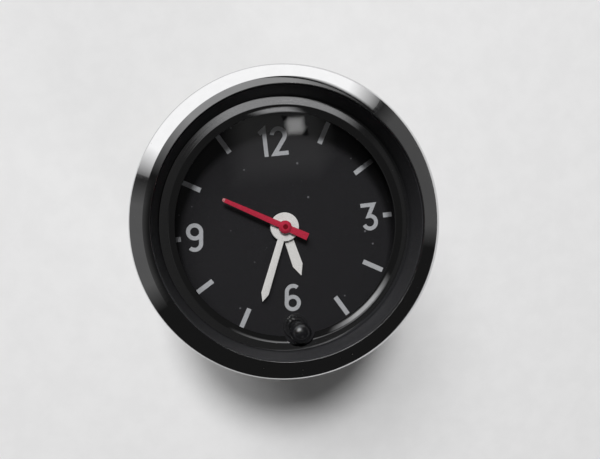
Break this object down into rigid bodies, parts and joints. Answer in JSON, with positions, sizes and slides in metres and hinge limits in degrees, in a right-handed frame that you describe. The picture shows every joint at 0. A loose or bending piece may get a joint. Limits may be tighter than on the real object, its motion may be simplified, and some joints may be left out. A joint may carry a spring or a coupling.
{
  "type": "dashboard clock",
  "caption": "Round dashboard clock: chromed bezel, domed lens, black dial with hour, minute and second hands, push-and-turn setting knob, and a geared balance movement in a steel can.",
  "frame": {"origin": "on the dial's axis, at the face of the dash panel that the bezel seats on", "axes": "+Z out of the dial towards the reader, +Y towards twelve o'clock, +X towards three o'clock"},
  "size_m": [0.0644, 0.0644, 0.0554],
  "materials": {
    "bezel": "polished",
    "reveal": "matte",
    "lens": "polished",
    "gasket": "matte",
    "dial": "matte",
    "print": "matte",
    "collar": "satin",
    "hand_white": "satin",
    "hand_red": "satin",
    "brass": "satin",
    "steel": "satin",
    "spring_steel": "satin",
    "bronze": "satin",
    "nylon": "satin",
    "copper": "satin",
    "board": "satin",
    "component_metal": "satin",
    "capacitor": "gloss",
    "resistor": "gloss",
    "wire": "satin",
    "knob": "gloss",
    "stem": "satin",
    "can": "satin",
    "zinc": "satin",
    "block": "satin",
    "lamp_body": "satin",
    "bulb": "polished"
  },
  "bodies": {
    "case": {"bezel": "bezel", "reveal_ring": "reveal", "dial_spacer": "reveal", "lens": "lens", "lens_gasket": "gasket", "dial": "dial", "hour_marks": "print", "numerals": "print", "stem_collar": "collar", "balance_cock": "brass", "front_plate": "brass", "back_plate": "brass", "terminal_blades": "brass", "motion_posts": "steel", "hairspring_stud": "steel", "plate_pillars": "steel", "rear_standoffs": "steel", "movement_screws": "steel", "board_spacers": "steel", "terminal_rivets": "steel", "hairspring": "spring_steel", "return_leaf": "bronze", "coil_bobbin": "nylon", "coil_winding": "copper", "circuit_board": "board", "transistor": "component_metal", "capacitor": "capacitor", "resistors": "resistor", "lead_wires": "wire", "case_can": "can", "case_flange": "can", "case_screws": "zinc", "mounting_studs": "zinc", "stud_nuts": "zinc", "terminal_block": "block", "lamp_holder": "lamp_body", "lamp_bulb": "bulb"},
    "minute_work": {"cannon_pinion": "brass", "minute_hand": "hand_white"},
    "hour_work": {"hour_wheel": "brass", "hour_hand": "hand_white"},
    "minute_wheel": {"minute_wheel": "brass"},
    "setting_wheel": {"setting_wheel": "brass"},
    "seconds_work": {"seconds_arbor": "steel", "seconds_wheel": "brass", "second_hand": "hand_red"},
    "third_work": {"third_arbor": "steel", "third_wheel": "brass"},
    "centre_work": {"centre_wheel": "brass"},
    "index_work": {"index_arbor": "steel", "index_wheel": "nylon"},
    "balance": {"balance_staff": "steel", "balance_wheel": "brass", "balance_magnets": "steel"},
    "setting_slide": {"stem_clip": "steel"},
    "setting_stem": {"setting_stem": "stem", "setting_knob": "knob", "setting_pinion": "brass"}
  },
  "joints": [
    {"name": "minute_hand_turn", "type": "hinge", "parent": "case", "child": "minute_work", "pos_m": [0, 0, -0.00575], "axis": [0, 0, -1], "continuous": true},
    {"name": "hour_hand_turn", "type": "hinge", "parent": "case", "child": "hour_work", "pos_m": [0, 0, -0.00655], "axis": [0, 0, -1], "continuous": true},
    {"name": "minute_wheel_turn", "type": "hinge", "parent": "case", "child": "minute_wheel", "pos_m": [0, -0.008, -0.0108], "axis": [0, 0, -1], "continuous": true},
    {"name": "setting_wheel_turn", "type": "hinge", "parent": "case", "child": "setting_wheel", "pos_m": [0.00325, -0.01746, -0.0108], "axis": [0, 0, -1], "continuous": true},
    {"name": "seconds_turn", "type": "hinge", "parent": "case", "child": "seconds_work", "pos_m": [0, 0, -0.0047], "axis": [0, 0, -1], "continuous": true},
    {"name": "third_wheel_turn", "type": "hinge", "parent": "case", "child": "third_work", "pos_m": [-0.00883, 0.0051, -0.0178], "axis": [0, 0, -1], "continuous": true},
    {"name": "centre_wheel_turn", "type": "hinge", "parent": "case", "child": "centre_work", "pos_m": [0, 0, -0.0143], "axis": [0, 0, -1], "continuous": true},
    {"name": "index_wheel_turn", "type": "hinge", "parent": "case", "child": "index_work", "pos_m": [0.00947, 0.00345, -0.022], "axis": [0, 0, -1], "continuous": true},
    {"name": "balance_swing", "type": "hinge", "parent": "case", "child": "balance", "pos_m": [0.01292, 0.00942, -0.027], "axis": [0, 0, -1], "range_deg": [-135, 135], "stiffness_Nm_per_rad": 0.0000012, "deforming": ["hairspring"]},
    {"name": "setting_push", "type": "slide", "parent": "case", "child": "setting_slide", "axis": [0, 0, -1], "range_m": [0, 0.001], "stiffness_N_per_m": 400, "springref_m": -0.0005, "deforming": ["return_leaf"]},
    {"name": "setting_turn", "type": "hinge", "parent": "setting_slide", "child": "setting_stem", "pos_m": [0, -0.0225, 0.002], "axis": [0, 0, -1], "continuous": true}
  ],
  "couplings": [
    {"joint": "hour_hand_turn", "follows": "minute_hand_turn", "ratio": 0.083333},
    {"joint": "minute_wheel_turn", "follows": "minute_hand_turn", "ratio": -0.33333},
    {"joint": "setting_wheel_turn", "follows": "minute_hand_turn", "ratio": 0.5},
    {"joint": "third_wheel_turn", "follows": "seconds_turn", "ratio": -0.125},
    {"joint": "centre_wheel_turn", "follows": "seconds_turn", "ratio": 0.016667},
    {"joint": "index_wheel_turn", "follows": "seconds_turn", "ratio": -6}
  ]
}
